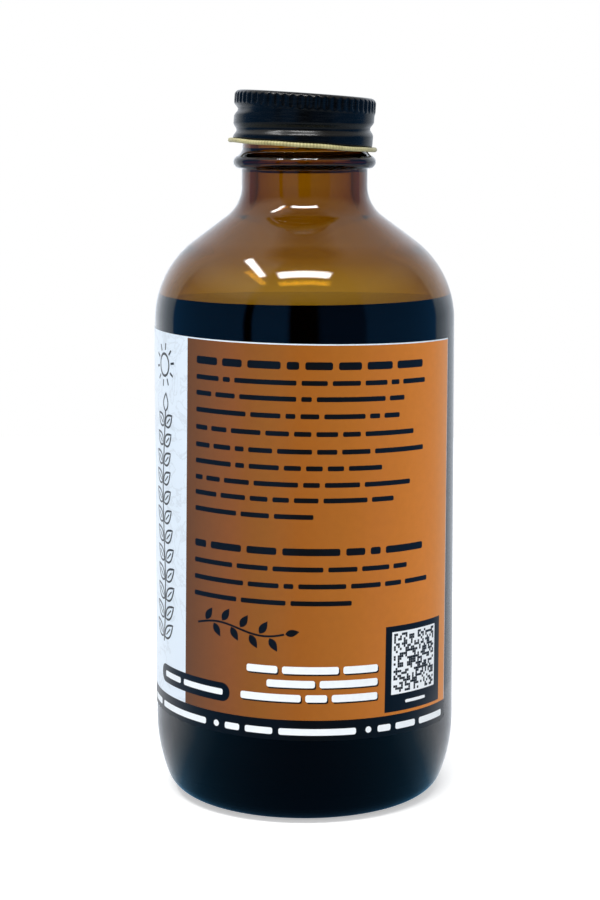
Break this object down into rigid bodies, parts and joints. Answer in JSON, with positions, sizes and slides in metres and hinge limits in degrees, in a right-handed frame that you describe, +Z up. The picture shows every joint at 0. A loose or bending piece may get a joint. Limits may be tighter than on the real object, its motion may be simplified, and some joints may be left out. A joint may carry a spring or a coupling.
{
  "type": "glass bottle",
  "caption": "Round-shouldered amber glass bottle with dark contents, a wrap label, a screw cap set slightly askew and an elastic cord loop under the cap.",
  "frame": {"origin": "centre of the base, on the surface the bottle stands on", "axes": "+Z up along the bottle's axis, -Y towards the front of the label, +X towards the low side of the cap"},
  "size_m": [0.0612, 0.0612, 0.1432],
  "materials": {
    "amber_glass": "clear amber glass, fire polished",
    "dark_liquid": "nearly black liquid",
    "label_paper": "printed semi-gloss label paper",
    "black_enamel": "gloss black enamel on tinplate",
    "pulp_board": "matte pulp board",
    "liner_film": "smooth white film",
    "gold_elastic": "braided elastic with a metallic thread"
  },
  "bodies": {
    "bottle": {"glass_bottle": "amber_glass", "liquid_fill": "dark_liquid", "wrap_label": "label_paper"},
    "wad": {"liner_board": "pulp_board", "liner_film": "liner_film"},
    "cap": {"cap_shell": "black_enamel"},
    "loop": {"stretch_loop": "gold_elastic", "loop_knot": "gold_elastic"}
  },
  "joints": [
    {"name": "cap_lift", "type": "slide", "parent": "bottle", "child": "wad", "axis": [0.0689, 0, 0.9976], "range_m": [0, 0.0106]},
    {"name": "cap_turn", "type": "hinge", "parent": "wad", "child": "cap", "pos_m": [-0.00045, 0, 0.13247], "axis": [0.0689, 0, 0.9976], "range_deg": [0, 900]},
    {"name": "loop_turn", "type": "hinge", "parent": "cap", "child": "loop", "pos_m": [-0.00045, 0, 0.13247], "axis": [0.0689, 0, 0.9976], "continuous": true}
  ],
  "couplings": [
    {"joint": "cap_lift", "follows": "cap_turn", "m_per_rad": 0.0006737}
  ]
}
